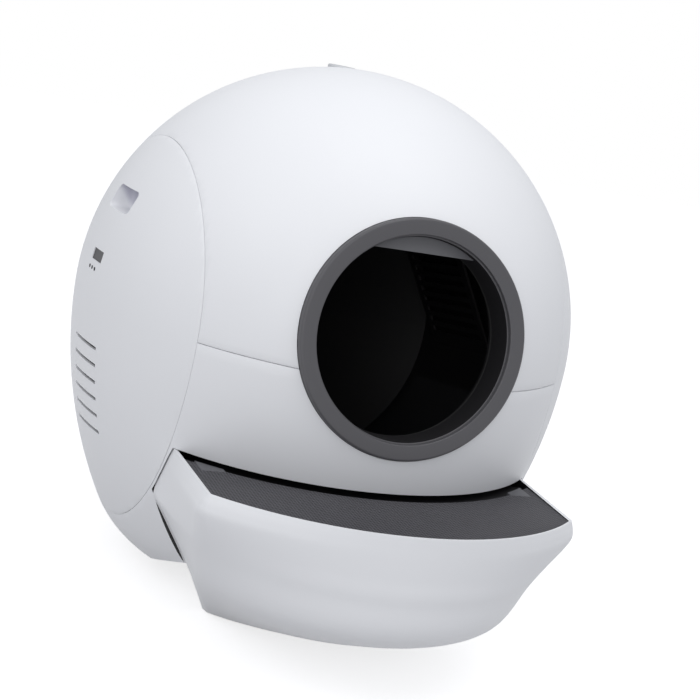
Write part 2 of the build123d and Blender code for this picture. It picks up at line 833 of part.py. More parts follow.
def roller_places():
    """Names and frames of the rollers, in the drum's frame."""
    radius = drum_radius + roller_radius + running_gap
    for end, height in (("front", roller_place), ("rear", -roller_place)):
        for side, angle in (("left", -90 - roller_angle), ("right", -90 + roller_angle)):
            yield end + "_" + side + "_roller", around(radius, angle, height)


def make_roller():
    roller = Cylinder(roller_radius, roller_width)
    return roller - Cylinder(axle_radius + axle_clearance, roller_width)


def make_cradle():
    """A trough under the drum with the waste chute in its middle, on two side walls."""
    outer = cradle_radius + cradle_thickness
    trough = curved_plate(outer, cradle_radius, -90 - cradle_half_angle, -90 + cradle_half_angle,
                          cradle_rear, cradle_front)
    chute = curved_plate(outer + overrun, cradle_radius - overrun, -90 - chute_half_angle,
                         -90 + chute_half_angle, cradle_rear - overrun, chute_front)
    trough = trough - chute
    legs = block(leg_x, leg_x + leg_thickness, leg_front, leg_rear, plate_top, 0)
    legs = legs + block(-leg_x - leg_thickness, -leg_x, leg_front, leg_rear, plate_top, 0)
    legs = ball_in_drum * (legs & inner_space)
    legs = legs - disc(cradle_radius, -far, far)
    top_cut = wedge(-90 - cradle_half_angle, -90 + cradle_half_angle, far)
    legs = legs & extrude(Pos(0, 0, -far) * top_cut, 2 * far)
    cradle = trough + legs
    ear_start = roller_width / 2 + ear_gap
    ear_outer = cradle_radius + cradle_thickness
    ear_middle = (ear_inner + ear_outer) / 2
    roller_line = drum_radius + roller_radius + running_gap
    for name, place in roller_places():
        pocket = Box(4 * roller_radius, 2 * roller_radius + 2 * ear_gap, 2 * ear_start)
        cradle = cradle - place * pocket
        for side in (-1, 1):
            ear = Box(ear_outer - ear_inner, ear_width, ear_thickness)
            shift = side * (ear_start + ear_thickness / 2)
            ear = place * Pos(ear_middle - roller_line, 0, shift) * ear
            cradle = cradle + ear
    for name, place in roller_places():
        cradle = cradle - place * Cylinder(axle_radius, axle_length())
    return cradle


def axle_length():
    return roller_width + 2 * (ear_gap + ear_thickness)


def make_axles():
    return Compound(children=[place * Cylinder(axle_radius, axle_length())
                              for name, place in roller_places()])


def make_drum_bearing():
    """A boss for the drum's rear stub, on an arm from the lower shell's rear wall."""
    front = -rear_end - running_gap
    boss_radius = 2 * stub_radius
    boss = disc(boss_radius, -far, front)
    foot = extrude(Pos(0, -boss_radius, -far) * Rectangle(2 * boss_radius, 2 * boss_radius), far + front)
    bearing = ((boss + foot) & (ball_in_drum * inner_space))
    below = ball_in_drum * block(-far, far, -far, far, -far, -split_gap / 2 - lip_depth)
    bearing = bearing & below
    return bearing - disc(stub_radius + axle_clearance, -rear_end - stub_length - 1.5 * running_gap, far)


# Base
def make_base_plate():
    plate = block(-plate_half_width, plate_half_width, plate_front, plate_rear, floor_top, plate_top)
    inner = bin_bottom_width / 2 + runner_gap
    for side in (-1, 1):
        start, end = sorted((side * inner, side * (inner + runner_width)))
        runner = block(start, end, plate_front, leg_rear, plate_top, plate_top + runner_height)
        plate = plate + runner
    return plate & inner_space


def make_load_cells():
    height = load_cell_size[2]
    place = load_cell_share * edge_x
    return Compound(children=[Pos(x * place, y * place, plate_top + height / 2)
                              * Box(*load_cell_size) for x, y in corners])


def make_feet():
    feet = []
    for x, y in corners:
        foot = Pos(x * foot_x, y * foot_y, -base_depth - foot_height / 2)
        foot = foot * Cylinder(foot_radius, foot_height)
        feet.append(chamfer(foot.edges().group_by(Axis.Z)[0], foot_edge))
    return Compound(children=feet)


def make_inlet():
    skin_y = flank_x + sqrt(flank_radius ** 2 - inlet_drop ** 2)
    body = Cylinder(inlet_radius, inlet_length)
    bore = Pos(0, 0, -(inlet_length - inlet_depth) / 2) * Cylinder(inlet_bore, inlet_depth)
    inlet = Pos(0, skin_y - inlet_length / 2 + running_gap, -inlet_drop) * Rot(90, 0, 0) * (body - bore)
    return inlet & outer_skin


# Drawer
def make_drawer_front():
    """The flared step tray with its ledge for the deck and a rear wall that holds the bin."""
    inner_back = tray_back + overrun
    hull = tray_hull(0, tray_back, -rim_drop)
    ledge_top = -deck_drop - deck_thickness
    window = lip_slab(tray_wall + ledge_width, inner_back, lip_bottom, ledge_top)
    ledge = lip_slab(tray_wall, tray_back, ledge_top - ledge_thickness, ledge_top) - window
    rear = block(-far, far, tray_back - tray_wall, tray_back, -far, -bin_top_drop)
    tray = (hull - tray_hollow()) + ledge + (hull & rear)
    tray = tray - bin_solid(-running_gap)
    for side in (-1, 1):
        pad = Cylinder(pad_radius, pad_height)
        tray = tray + Pos(side * pad_x, pad_y, -tray_drop - pad_height / 2) * pad
    return tray


def bin_solid(inset, rise=0.0):
    """The bin's outer form, drawn in by inset, its floor raised."""
    middle = (bin_front + bin_rear) / 2
    length = bin_rear - bin_front - 2 * inset
    corner = bin_corner - inset
    top = RectangleRounded(bin_top_width - 2 * inset, length, corner)
    bottom = RectangleRounded(bin_bottom_width - 2 * inset, length - 2 * bin_draft, corner)
    top_z = -bin_top_drop
    return loft([Pos(0, middle, rise - bin_bottom_drop) * bottom, Pos(0, middle, top_z) * top])


def make_bin():
    return bin_solid(0) - bin_solid(bin_wall, rise=bin_wall)


def make_clamp_ring():
    middle = (bin_front + bin_rear) / 2
    length = bin_rear - bin_front
    outer = RectangleRounded(bin_top_width, length, bin_corner)
    inner = RectangleRounded(bin_top_width - 2 * clamp_overlap, length - 2 * clamp_overlap,
                             bin_corner - clamp_overlap)
    return extrude(Pos(0, middle, -bin_top_drop) * (outer - inner), clamp_thickness)


def make_deck():
    """The plate under the mat, back to the drum's front cone."""
    deck = lip_slab(tray_wall + running_gap, tray_back, -deck_drop - deck_thickness, -deck_drop)
    return deck - block(-far, far, deck_back, far, -far, far)


def make_mat():
    """The mat, cut clear of the shell behind it but for two tabs at its back corners."""
    mat = lip_slab(tray_wall + mat_gap, tray_back, -deck_drop, mat_thickness - deck_drop)
    shell_radius = flank_x + sqrt(flank_radius ** 2 - shell_edge_drop ** 2)
    behind = disc(shell_radius + mat_shell_gap, -far, far)
    near_shell = disc(shell_radius + tab_shell_gap, -far, far)
    tabs = block(-tab_outer_x, -tab_inner_x, -far, 0, -far, far)
    tabs = tabs + block(tab_inner_x, tab_outer_x, -far, 0, -far, far)
    return mat - (behind - (tabs - near_shell))


def make_deodorizer():
    width, length, height = deodorizer_size
    top = -deck_drop - deck_thickness
    box = Pos(0, deodorizer_y, top - height / 2) * Box(width, length, height)
    hollow = Box(width - 2 * deodorizer_wall, length - 2 * deodorizer_wall, height - 2 * deodorizer_wall)
    box = fillet(box.edges().filter_by(Axis.Z), 2 * deodorizer_wall)
    box = box - Pos(0, deodorizer_y, top - height / 2) * hollow
    pitch = (width - 4 * deodorizer_wall) / deodorizer_slots
    for index in range(deodorizer_slots):
        x = (index - (deodorizer_slots - 1) / 2) * pitch
        slot = Box(deodorizer_slot_width, length - 8 * deodorizer_wall, 2 * deodorizer_wall)
        box = box - Pos(x, deodorizer_y, top - height) * slot
    return box


# All the pieces
keep("upper_shell", make_upper_shell())
keep("release_knob", make_knob())
keep("lower_shell", make_lower_shell())
keep("base_plate", make_base_plate())
keep("load_cells", make_load_cells())
keep("rubber_feet", make_feet())
keep("power_inlet", make_inlet())
keep("cover_screws", make_screws())

pinion_slot = pinion_place * Pos(0, 0, gear_width / 2)
slot_reach = 2 * (pinion_pitch_radius + 2 * gear_module)
slot_tool = pinion_slot * Rot(0, 0, -pinion_angle) * Box(slot_reach, slot_reach, 2 * gear_width)
keep("left_cover", make_left_cover())
keep("left_inner_panel", make_panel())
keep("left_grip_pocket", make_grip())
keep("right_cover", mirror_x(make_cover()))
keep("right_inner_panel", mirror_x(make_panel()) - drum_in_ball * slot_tool)
keep("right_grip_pocket", mirror_x(make_grip()))
keep("display_window", make_display_window())
keep("display_board", make_display_board())
for number, key_y in enumerate(key_places, start=1):
    keep("control_key_" + str(number), make_key(key_y))
keep("control_board", make_control_board())
keep("fan_housing", make_fan_housing())
keep("fan_impeller", make_fan_impeller())

keep("entry_bezel", make_bezel(), drum_frame)
keep("sensor_visor", make_visor(), drum_frame)
keep("sensor_board", make_sensor_board(), drum_frame)
keep("throat_seal", make_seal(), drum_frame)

keep("drum_front", make_drum_front(), drum_frame)
keep("drum_rear", make_drum_rear(), drum_frame)
keep("drum_gear", make_drum_gear(), drum_frame)
keep("litter_liner", make_liner(), drum_frame)
keep("sifter_screen", make_sifter(), drum_frame)
keep("drum_clips", make_clips(), drum_frame)

keep("drive_pinion", make_pinion(), drum_frame)
keep("gear_motor", make_gear_motor(), drum_frame)
keep("drum_cradle", make_cradle(), drum_frame)
keep("drum_bearing", make_drum_bearing(), drum_frame)
keep("roller_axles", make_axles(), drum_frame)
for roller_name, roller_frame in roller_places():
    keep(roller_name, roller_frame * make_roller(), drum_frame)

keep("drawer_front", make_drawer_front())
keep("waste_bin", make_bin())
keep("bag_clamp_ring", make_clamp_ring())
keep("step_deck", make_deck())
keep("deodorizer_box", make_deodorizer())
keep("step_mat", make_mat())

os.makedirs("parts", exist_ok=True)
for node, shape in parts.items():
    export_step(shape, "parts/" + node + ".step")
    box = shape.bounding_box()
    print(f"{node:20s} solids {len(shape.solids()):2d}  volume {shape.volume / 1000:9.1f} cm3  "
          f"x {box.min.X:7.1f} {box.max.X:7.1f}  y {box.min.Y:7.1f} {box.max.Y:7.1f}  "
          f"z {box.min.Z:7.1f} {box.max.Z:7.1f}")

# Joint axes and places, for the record
for label, point, direction in (
    ("drum_turn", (0, 0, 0), (0, 0, 1)),
    ("pinion_spin", tuple((pinion_place * Pos(0, 0, 0)).position), (0, 0, 1)),
):
    world = (drum_frame * Pos(*point)).position
    tip = (drum_frame * Pos(*point) * Pos(*direction)).position
    print(label, [round(v / 1000, 6) for v in world], [round(b - a, 6) for a, b in zip(world, tip)])
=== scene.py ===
import bpy
import math
from mathutils import Matrix, Vector


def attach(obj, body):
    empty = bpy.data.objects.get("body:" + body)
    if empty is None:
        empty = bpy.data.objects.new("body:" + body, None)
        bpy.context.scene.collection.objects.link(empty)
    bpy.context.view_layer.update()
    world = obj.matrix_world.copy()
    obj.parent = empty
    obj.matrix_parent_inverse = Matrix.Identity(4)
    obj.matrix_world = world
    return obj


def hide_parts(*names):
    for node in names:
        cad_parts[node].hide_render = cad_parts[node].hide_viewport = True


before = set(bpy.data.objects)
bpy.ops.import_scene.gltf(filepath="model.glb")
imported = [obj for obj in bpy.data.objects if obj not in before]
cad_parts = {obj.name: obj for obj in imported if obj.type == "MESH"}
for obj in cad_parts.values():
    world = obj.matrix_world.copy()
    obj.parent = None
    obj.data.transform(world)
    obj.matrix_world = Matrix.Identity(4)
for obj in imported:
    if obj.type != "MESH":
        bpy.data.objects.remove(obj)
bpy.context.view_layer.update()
print("frame loaded:", len(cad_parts), "nodes")

far = 0.4  # past the skin of the ball on every side
touch = 0.001  # near enough to count as touching, and the overlap of joined pieces

# the ball's centre and the tilted axis that the entrance and the drum share,
# here and below with lengths in metres and angles in degrees
body = {
    "centre": Vector((0, 0.05335, 0.301)),
    "ballRadius": 0.280,
    "flankRadius": 0.494,
    "edgeRadius": 0.110,
    "baseDepth": 0.295,
    "reliefAngle": 20,
    "reliefStart": -0.020,
    "reliefLength": 0.5,
    "reliefDepth": 0.2,
    "keelTop": (0.1495, -0.2055),
    "keelFoot": (0.108, -0.315),
    "wall": 0.004,
    "seamReach": 0.2188,
    "seamTurn": 5.9,
    "seamGap": 0.0002,
    "splitGap": 0.0007,
    "edgeSoftness": 0.0006,
    "tilt": 9.2,
    "ballRings": 56,
    "flankRings": 20,
    "edgeRings": 14,
    "steps": 200,
}
centre = body["centre"]
ballFrame = Matrix.Translation(centre)
drumFrame = ballFrame @ Matrix.Rotation(math.radians(90 - body["tilt"]), 4, "X")


# small helpers around the operators
def pick(obj):
    if bpy.context.mode != "OBJECT":
        bpy.ops.object.mode_set(mode="OBJECT")
    bpy.ops.object.select_all(action="DESELECT")
    obj.select_set(True)
    bpy.context.view_layer.objects.active = obj


def editAll(obj):
    pick(obj)
    bpy.ops.object.mode_set(mode="EDIT")
    bpy.ops.mesh.select_mode(type="VERT")
    bpy.ops.mesh.select_all(action="SELECT")


def leaveEdit():
    bpy.ops.object.mode_set(mode="OBJECT")


def drawChain(name, points):
    # a chain of edges, extruded from a plane that is merged to one point, and left in edit mode
    bpy.ops.object.select_all(action="DESELECT")
    bpy.ops.mesh.primitive_plane_add(size=0.01, location=(0, 0, 0))
    obj = bpy.context.object
    obj.name = name
    editAll(obj)
    bpy.ops.mesh.merge(type="CENTER")
    bpy.ops.transform.translate(value=Vector(points[0]))
    for here, there in zip(points, points[1:]):
        step = Vector(there) - Vector(here)
        bpy.ops.mesh.extrude_region_move(TRANSFORM_OT_translate={"value": step})
    return obj


def tidyNormals():
    bpy.ops.mesh.select_all(action="SELECT")
    bpy.ops.mesh.remove_doubles(threshold=0.00001)
    bpy.ops.mesh.normals_make_consistent(inside=False)


def settle(obj, place):
    # moves the mesh to its place and leaves the object at the origin
    pick(obj)
    obj.matrix_world = place @ obj.matrix_world
    bpy.ops.object.transform_apply(location=True, rotation=True, scale=True)
    return obj


def placeAt(x=0, y=0, z=0):
    return ballFrame @ Matrix.Translation((x, y, z))


def turned(name, outline, place=ballFrame, steps=body["steps"], closed=False):
    # spins an outline of (radius, height) points about the place's own Z
    points = [Vector((radius, 0, height)) for radius, height in outline]
    if closed:
        points.append(points[0])
    obj = drawChain(name, points)
    bpy.ops.mesh.select_all(action="SELECT")
    bpy.ops.mesh.spin(steps=steps, angle=math.tau, center=(0, 0, 0), axis=(0, 0, 1))
    tidyNormals()
    leaveEdit()
    return settle(obj, place)


def hoop(outer, inner, low, high):
    # the outline of a plain band, for turned
    return [(outer, low), (outer, high), (inner, high), (inner, low)]


def addBlock(name, low, high, place=ballFrame):
    low, high = Vector(low), Vector(high)
    bpy.ops.object.select_all(action="DESELECT")
    bpy.ops.mesh.primitive_cube_add(size=1, location=(0, 0, 0))
    obj = bpy.context.object
    obj.name = name
    obj.matrix_world = Matrix.Translation((low + high) / 2) @ Matrix.Diagonal((*(high - low), 1))
    return settle(obj, place)


def addRod(name, radius, start, end, place, sides):
    bpy.ops.object.select_all(action="DESELECT")
    bpy.ops.mesh.primitive_cylinder_add(vertices=sides, radius=radius, depth=end - start,
                                        location=(0, 0, (start + end) / 2))
    obj = bpy.context.object
    obj.name = name
    return settle(obj, place)


def twin(obj, name):
    copy = obj.copy()
    copy.data = obj.data.copy()
    copy.name = name
    bpy.context.collection.objects.link(copy)
    return copy


def discard(obj):
    bpy.data.objects.remove(obj, do_unlink=True)


def modify(obj, kind, **settings):
    pick(obj)
    modifier = obj.modifiers.new(kind, kind)
    for key, value in settings.items():
        setattr(modifier, key, value)
    bpy.ops.object.modifier_apply(modifier=modifier.name)
    return obj


def carve(obj, *tools, operation="DIFFERENCE"):
    for tool in tools:
        modify(obj, "BOOLEAN", object=tool, operation=operation, solver="EXACT")
        discard(tool)
    return obj


def cutOff(obj, point, outward, fill=False):
    # bisects by a plane and drops what lies on its outward side
    editAll(obj)
    bpy.ops.mesh.bisect(plane_co=point, plane_no=outward, use_fill=fill, clear_outer=True)
    leaveEdit()
    return obj


def thicken(obj, thickness):
    return modify(obj, "SOLIDIFY", thickness=thickness, offset=-1, use_even_offset=True)


def softenEdges(obj, width, segments=2, angle=50):
    return modify(obj, "BEVEL", width=width, segments=segments, limit_method="ANGLE",
                  angle_limit=math.radians(angle), harden_normals=False)


def joined(obj, *others):
    pick(obj)
    for other in others:
        other.select_set(True)
    bpy.ops.object.join()
    return obj


def finished(obj, ridesOn, material, replaced, angle=35):
    pick(obj)
    bpy.ops.object.shade_smooth_by_angle(angle=math.radians(angle))
    obj.data.materials.clear()
    obj.data.materials.append(material)
    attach(obj, ridesOn)
    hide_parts(replaced)


# shader maths: one socket wrapper, so that masks read as expressions
class Wire:
    def __init__(self, board, socket):
        self.board = board
        self.socket = socket

    def maths(self, operation, other=None, swap=False):
        first, second = (other, self) if swap else (self, other)
        values = {0: first}
        if second is not None:
            values[1] = second
        return self.board.add("ShaderNodeMath", {"operation": operation}, values)

    def __add__(self, other): return self.maths("ADD", other)
    def __radd__(self, other): return self.maths("ADD", other, swap=True)
    def __sub__(self, other): return self.maths("SUBTRACT", other)
    def __rsub__(self, other): return self.maths("SUBTRACT", other, swap=True)
    def __mul__(self, other): return self.maths("MULTIPLY", other)
    def __rmul__(self, other): return self.maths("MULTIPLY", other, swap=True)
    def __truediv__(self, other): return self.maths("DIVIDE", other)
    def __rtruediv__(self, other): return self.maths("DIVIDE", other, swap=True)
    def __abs__(self): return self.maths("ABSOLUTE")
    def wrap(self, size): return self.maths("FLOORED_MODULO", size)
    def below(self, other): return self.maths("LESS_THAN", other)
    def least(self, other): return self.maths("MINIMUM", other)
    def most(self, other): return self.maths("MAXIMUM", other)

    def ramped(self, start, end):
        # 0 before start, 1 past end, smooth between
        return self.board.add("ShaderNodeMapRange", {"interpolation_type": "SMOOTHSTEP"},
                              {"Value": self, "From Min": start, "From Max": end})


# the node tree of one new material, or of the world
class Board:
    def __init__(self, name, collection=bpy.data.materials):
        self.owner = collection.new(name)
        self.owner.use_nodes = True
        self.tree = self.owner.node_tree
        self.tree.nodes.clear()

    def add(self, kind, settings=None, values=None, output=0):
        node = self.tree.nodes.new(kind)
        for key, value in (settings or {}).items():
            setattr(node, key, value)
        for key, value in (values or {}).items():
            if isinstance(value, Wire):
                self.tree.links.new(value.socket, node.inputs[key])
            else:
                node.inputs[key].default_value = value
        return Wire(self, node.outputs[output])

    def place(self):
        return self.add("ShaderNodeTexCoord", output=3)

    def parts(self, vector):
        split = self.tree.nodes.new("ShaderNodeSeparateXYZ")
        self.tree.links.new(vector.socket, split.inputs[0])
        return [Wire(self, socket) for socket in split.outputs]

    def noise(self, vector, scale, detail=2):
        return self.add("ShaderNodeTexNoise", {}, {"Vector": vector, "Scale": scale, "Detail": detail})

    def blend(self, share, first, second):
        sockets = {0: share, 6: first, 7: second}
        return self.add("ShaderNodeMix", {"data_type": "RGBA"}, sockets, output=2)

    def bump(self, height, strength, distance):
        return self.add("ShaderNodeBump", {}, {"Height": height, "Strength": strength,
                                               "Distance": distance})

    def shows(self, shader, kind="ShaderNodeOutputMaterial"):
        output = self.tree.nodes.new(kind)
        self.tree.links.new(shader.socket, output.inputs["Surface"])
        return self.owner

    def surface(self, **sockets):
        values = {name.replace("_", " "): value for name, value in sockets.items()}
        return self.shows(self.add("ShaderNodeBsdfPrincipled", {}, values))


plastic = {"driftScale": 6, "driftFrom": 0.3, "driftTo": 0.7, "bump": 0.35}


def mouldedPlastic(name, colour, roughness, spread=0.04, shade=0.03, grain=900, depth=0.00004):
    # moulded plastic: a faint drift of tone and sheen, and a fine skin from the mould
    board = Board(name)
    place = board.place()
    drift = board.noise(place, plastic["driftScale"])
    skin = board.noise(place, grain)
    darker = (*[c * (1 - shade) for c in colour], 1)
    share = drift.ramped(plastic["driftFrom"], plastic["driftTo"])
    tone = board.blend(share, darker, (*colour, 1))
    gloss = roughness + (drift - 0.5) * spread + (skin - 0.5) * spread
    return board.surface(Base_Color=tone, Roughness=gloss,
                         Normal=board.bump(skin, plastic["bump"], depth))


def pocketPaintedShade(name, colour, look):
    # the covers' plastic with painted shade: greyer towards the deep upper end of a grip pocket, where
    # shade falls
    board = Board(name)
    x, y, z = board.parts(board.place())
    inwards = (look["mouth"] - abs(x)) / look["depth"]
    upwards = (z - look["middle"]) / look["height"]
    share = (inwards + upwards).ramped(look["from"], look["to"])
    # the deep colour is painted shade, not a colour of the plastic
    tone = board.blend(share, (*colour, 1), look["deep"])
    return board.surface(Base_Color=tone, Roughness=look["roughness"])


def brushedSteel(name, look):
    # zinc plated steel, with fine streaks along X
    board = Board(name)
    along = board.add("ShaderNodeMapping", {}, {0: board.place(), "Scale": look["stretch"]})
    streak = board.noise(along, 1, 3)
    darker = (*[c * look["dark"] for c in look["colour"]], 1)
    tone = board.blend(streak, darker, (*look["colour"], 1))
    gloss = look["roughness"] + streak * look["spread"]
    return board.surface(Base_Color=tone, Metallic=1.0, Roughness=gloss,
                         Normal=board.bump(streak, look["bump"], look["depth"]))


def circuitBoard(name, look):
    # green lacquer, paler over the copper tracks
    board = Board(name)
    x, y, z = board.parts(board.place())
    tracks = (abs((y + z * look["slant"]).wrap(look["pitch"]) - look["pitch"] / 2)).below(look["halfTrack"])
    tone = board.blend(tracks, look["lacquer"], look["track"])
    return board.surface(Base_Color=tone, Roughness=look["roughness"] + tracks * look["spread"],
                         Coat_Weight=look["coat"])


def meshMat(name, look):
    # rubber mat with a fine honeycomb of holes
    board = Board(name)
    place = board.place()
    x, y, z = board.parts(place)
    pitch = look["pitch"]
    tall, wide = pitch, pitch * math.sqrt(3)
    ax, ay = x.wrap(wide) - wide / 2, y.wrap(tall) - tall / 2
    bx, by = (x + wide / 2).wrap(wide) - wide / 2, (y + tall / 2).wrap(tall) - tall / 2

    def cell(px, py):
        # distance from the middle of a hexagon, measured square to its sides
        return abs(py).most(abs(py) * 0.5 + abs(px) * (math.sqrt(3) / 2))

    reach = cell(ax, ay).least(cell(bx, by))
    hole = 1 - reach.ramped(look["hole"] - look["soft"], look["hole"] + look["soft"])
    dust = board.noise(place, look["dustScale"], 3)
    web = board.blend(dust, look["webDark"], look["web"])
    tone = board.blend(hole, web, look["bottom"])
    height = (1 - hole) + board.noise(place, look["grainScale"]) * look["grain"]
    return board.surface(Base_Color=tone, Roughness=look["roughness"] + dust * look["spread"],
                         Normal=board.bump(height, 1.0, look["depth"]))


rubber = {"roughness": 0.7, "spread": 0.12, "shade": 0.2, "grain": 500, "depth": 0.0001}
finishes = {
    "shell": {"colour": (0.80, 0.805, 0.83), "roughness": 0.5, "spread": 0.03, "shade": 0.012},
    "trim": {"colour": (0.083, 0.081, 0.088), "roughness": 0.5, "depth": 0.00008},
    "visor": {"colour": (0.118, 0.118, 0.127), "roughness": 0.45},
    "inside": {"colour": (0.0075, 0.007, 0.0085), "roughness": 0.6},
    "tab": {"colour": (0.10, 0.10, 0.11), "roughness": 0.5},
    "knob": {"colour": (0.55, 0.56, 0.58), "roughness": 0.4},
    "part": {"colour": (0.16, 0.16, 0.175), "roughness": 0.5},
    "fan": {"colour": (0.14, 0.14, 0.15), "roughness": 0.5},
    "bin": {"colour": (0.2, 0.2, 0.22), "roughness": 0.45},
    "gear": {"colour": (0.7, 0.69, 0.64), "roughness": 0.35},
    "motor": {"colour": (0.12, 0.12, 0.13), "roughness": 0.35, "grain": 300},
    "screen": {"colour": (0.045, 0.045, 0.05), "roughness": 0.4, "spread": 0.02, "depth": 0.00001},
    "liner": {"colour": (0.02, 0.02, 0.023), **rubber},
    "foot": {"colour": (0.03, 0.03, 0.03), **rubber},
    "steel": {"colour": (0.55, 0.55, 0.57), "dark": 0.8, "stretch": (30, 900, 900),
              "roughness": 0.22, "spread": 0.2, "bump": 0.2, "depth": 0.00005},
    "board": {"pitch": 0.004, "halfTrack": 0.0004, "slant": 0.5, "lacquer": (0.012, 0.09, 0.045, 1),
              "track": (0.03, 0.16, 0.07, 1), "roughness": 0.3, "spread": 0.1, "coat": 0.3},
    "mat": {"pitch": 0.0038, "hole": 0.0011, "soft": 0.0003, "web": (0.085, 0.083, 0.095, 1),
            "webDark": (0.062, 0.06, 0.07, 1), "bottom": (0.018, 0.017, 0.02, 1), "dustScale": 40,
            "grainScale": 1200, "grain": 0.15, "roughness": 0.55, "spread": 0.1, "depth": 0.0008},
    # the pocket's deep colour and its ramp are painted shade
    "pocket": {"mouth": 0.257, "depth": 0.019, "middle": 0.4055, "height": 0.025, "from": 0.25,
               "to": 0.75, "deep": (0.54, 0.54, 0.61, 1), "roughness": 0.5},
}
shellWhite = mouldedPlastic("shellWhite", **finishes["shell"])
# the grip pockets' white carries painted shade in their deep upper ends
pocketWhiteWithShade = pocketPaintedShade("pocketWhiteWithShade", finishes["shell"]["colour"], finishes["pocket"])
trimGrey = mouldedPlastic("trimGrey", **finishes["trim"])
visorGrey = mouldedPlastic("visorGrey", **finishes["visor"])
insideBlack = mouldedPlastic("insideBlack", **finishes["inside"])
matRubber = meshMat("matRubber", finishes["mat"])
tabGrey = mouldedPlastic("tabGrey", **finishes["tab"])
knobGrey = mouldedPlastic("knobGrey", **finishes["knob"])
partGrey = mouldedPlastic("partGrey", **finishes["part"])
slotGrey = mouldedPlastic("slotGrey", **finishes["fan"])
binGrey = mouldedPlastic("binGrey", **finishes["bin"])
linerRubber = mouldedPlastic("linerRubber", **finishes["liner"])
footRubber = mouldedPlastic("footRubber", **finishes["foot"])
acetal = mouldedPlastic("acetal", **finishes["gear"])
motorPaint = mouldedPlastic("motorPaint", **finishes["motor"])
zincSteel = brushedSteel("zincSteel", finishes["steel"])
boardGreen = circuitBoard("boardGreen", finishes["board"])
smokedScreen = mouldedPlastic("smokedScreen", **finishes["screen"])
print("finishes mixed:", len(bpy.data.materials))

# the finishes of the solids that stay as the frame has them
nodeFinish = {
    "base_plate": partGrey, "load_cells": zincSteel, "rubber_feet": footRubber,
    "power_inlet": footRubber, "cover_screws": zincSteel, "left_inner_panel": insideBlack,
    "right_inner_panel": insideBlack, "display_board": boardGreen, "control_board": boardGreen,
    "fan_housing": slotGrey, "fan_impeller": slotGrey, "gear_motor": motorPaint,
    "drum_cradle": insideBlack, "drum_bearing": insideBlack, "roller_axles": zincSteel,
    "throat_seal": footRubber, "drum_front": insideBlack, "drum_rear": insideBlack, "drum_gear": acetal,
    "litter_liner": linerRubber, "sifter_screen": insideBlack, "drum_clips": insideBlack,
    "drive_pinion": acetal, "front_left_roller": acetal, "front_right_roller": acetal,
    "rear_left_roller": acetal, "rear_right_roller": acetal, "waste_bin": binGrey,
    "bag_clamp_ring": binGrey, "step_deck": insideBlack, "deodorizer_box": partGrey,
    "display_window": smokedScreen, "control_key_1": insideBlack, "control_key_2": insideBlack,
    "control_key_3": insideBlack,
}
for nodeName, finish in nodeFinish.items():
    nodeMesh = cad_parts[nodeName].data
    nodeMesh.materials.clear()
    nodeMesh.materials.append(finish)


# points along an arc, by its middle and its radius
def arcRun(x, z, radius, start, end, count=6, first=True):
    steps = range(0 if first else 1, count + 1)
    angles = [math.radians(start + (end - start) * i / count) for i in steps]
    return [(x + radius * math.cos(a), z + radius * math.sin(a)) for a in angles]


def housingOutline():
    # half a ball over a rounded flank and a flat bottom
    ball, flank, edge = body["ballRadius"], body["flankRadius"], body["edgeRadius"]
    flankX = ball - flank
    edgeZ = edge - body["baseDepth"]
    edgeX = flankX + math.sqrt((flank - edge) ** 2 - edgeZ ** 2)
    turn = math.degrees(math.atan2(edgeZ, edgeX - flankX))
    outline = arcRun(0, 0, ball, 90, 0, body["ballRings"])
    outline += arcRun(flankX, 0, flank, 0, turn, body["flankRings"], False)
    outline += arcRun(edgeX, edgeZ, edge, turn, -90, body["edgeRings"], False)
    return outline + [(edgeX * 0.5, -body["baseDepth"]), (0, -body["baseDepth"])]


def seamCut(obj, side, shift, keepOutside=False, fill=False):
    # the covers meet the shells on two upright planes that close in a little to the front
    turn = math.radians(body["seamTurn"])
    outward = Vector((side * math.cos(turn), -math.sin(turn), 0))
    spot = centre + outward * (body["seamReach"] + shift)
    return cutOff(obj, spot, -outward if keepOutside else outward, fill)


def taperedBar(name, top, foot, back, front):
    # a bar along Y, its half width and height given at the top and at the foot
    bar = addBlock(name, (-top[0], front, foot[1]), (top[0], back, top[1]))
    for vertex in bar.data.vertices:
        if vertex.co.z < centre.z + foot[1] + touch:
            vertex.co.x *= foot[0] / top[0]
    return bar


wholeSkin = turned("wholeSkin", housingOutline())
reliefPlace = placeAt(0, body["reliefStart"], -body["baseDepth"])
slope = addBlock("slope", (-far, -body["reliefLength"], -body["reliefDepth"]),
                 (far, body["reliefLength"], 0),
                 reliefPlace @ Matrix.Rotation(-math.radians(body["reliefAngle"]), 4, "X"))
carve(slope, taperedBar("keel", body["keelTop"], body["keelFoot"], far, -far))
carve(wholeSkin, slope)
print("skin turned:", len(wholeSkin.data.polygons), "faces")


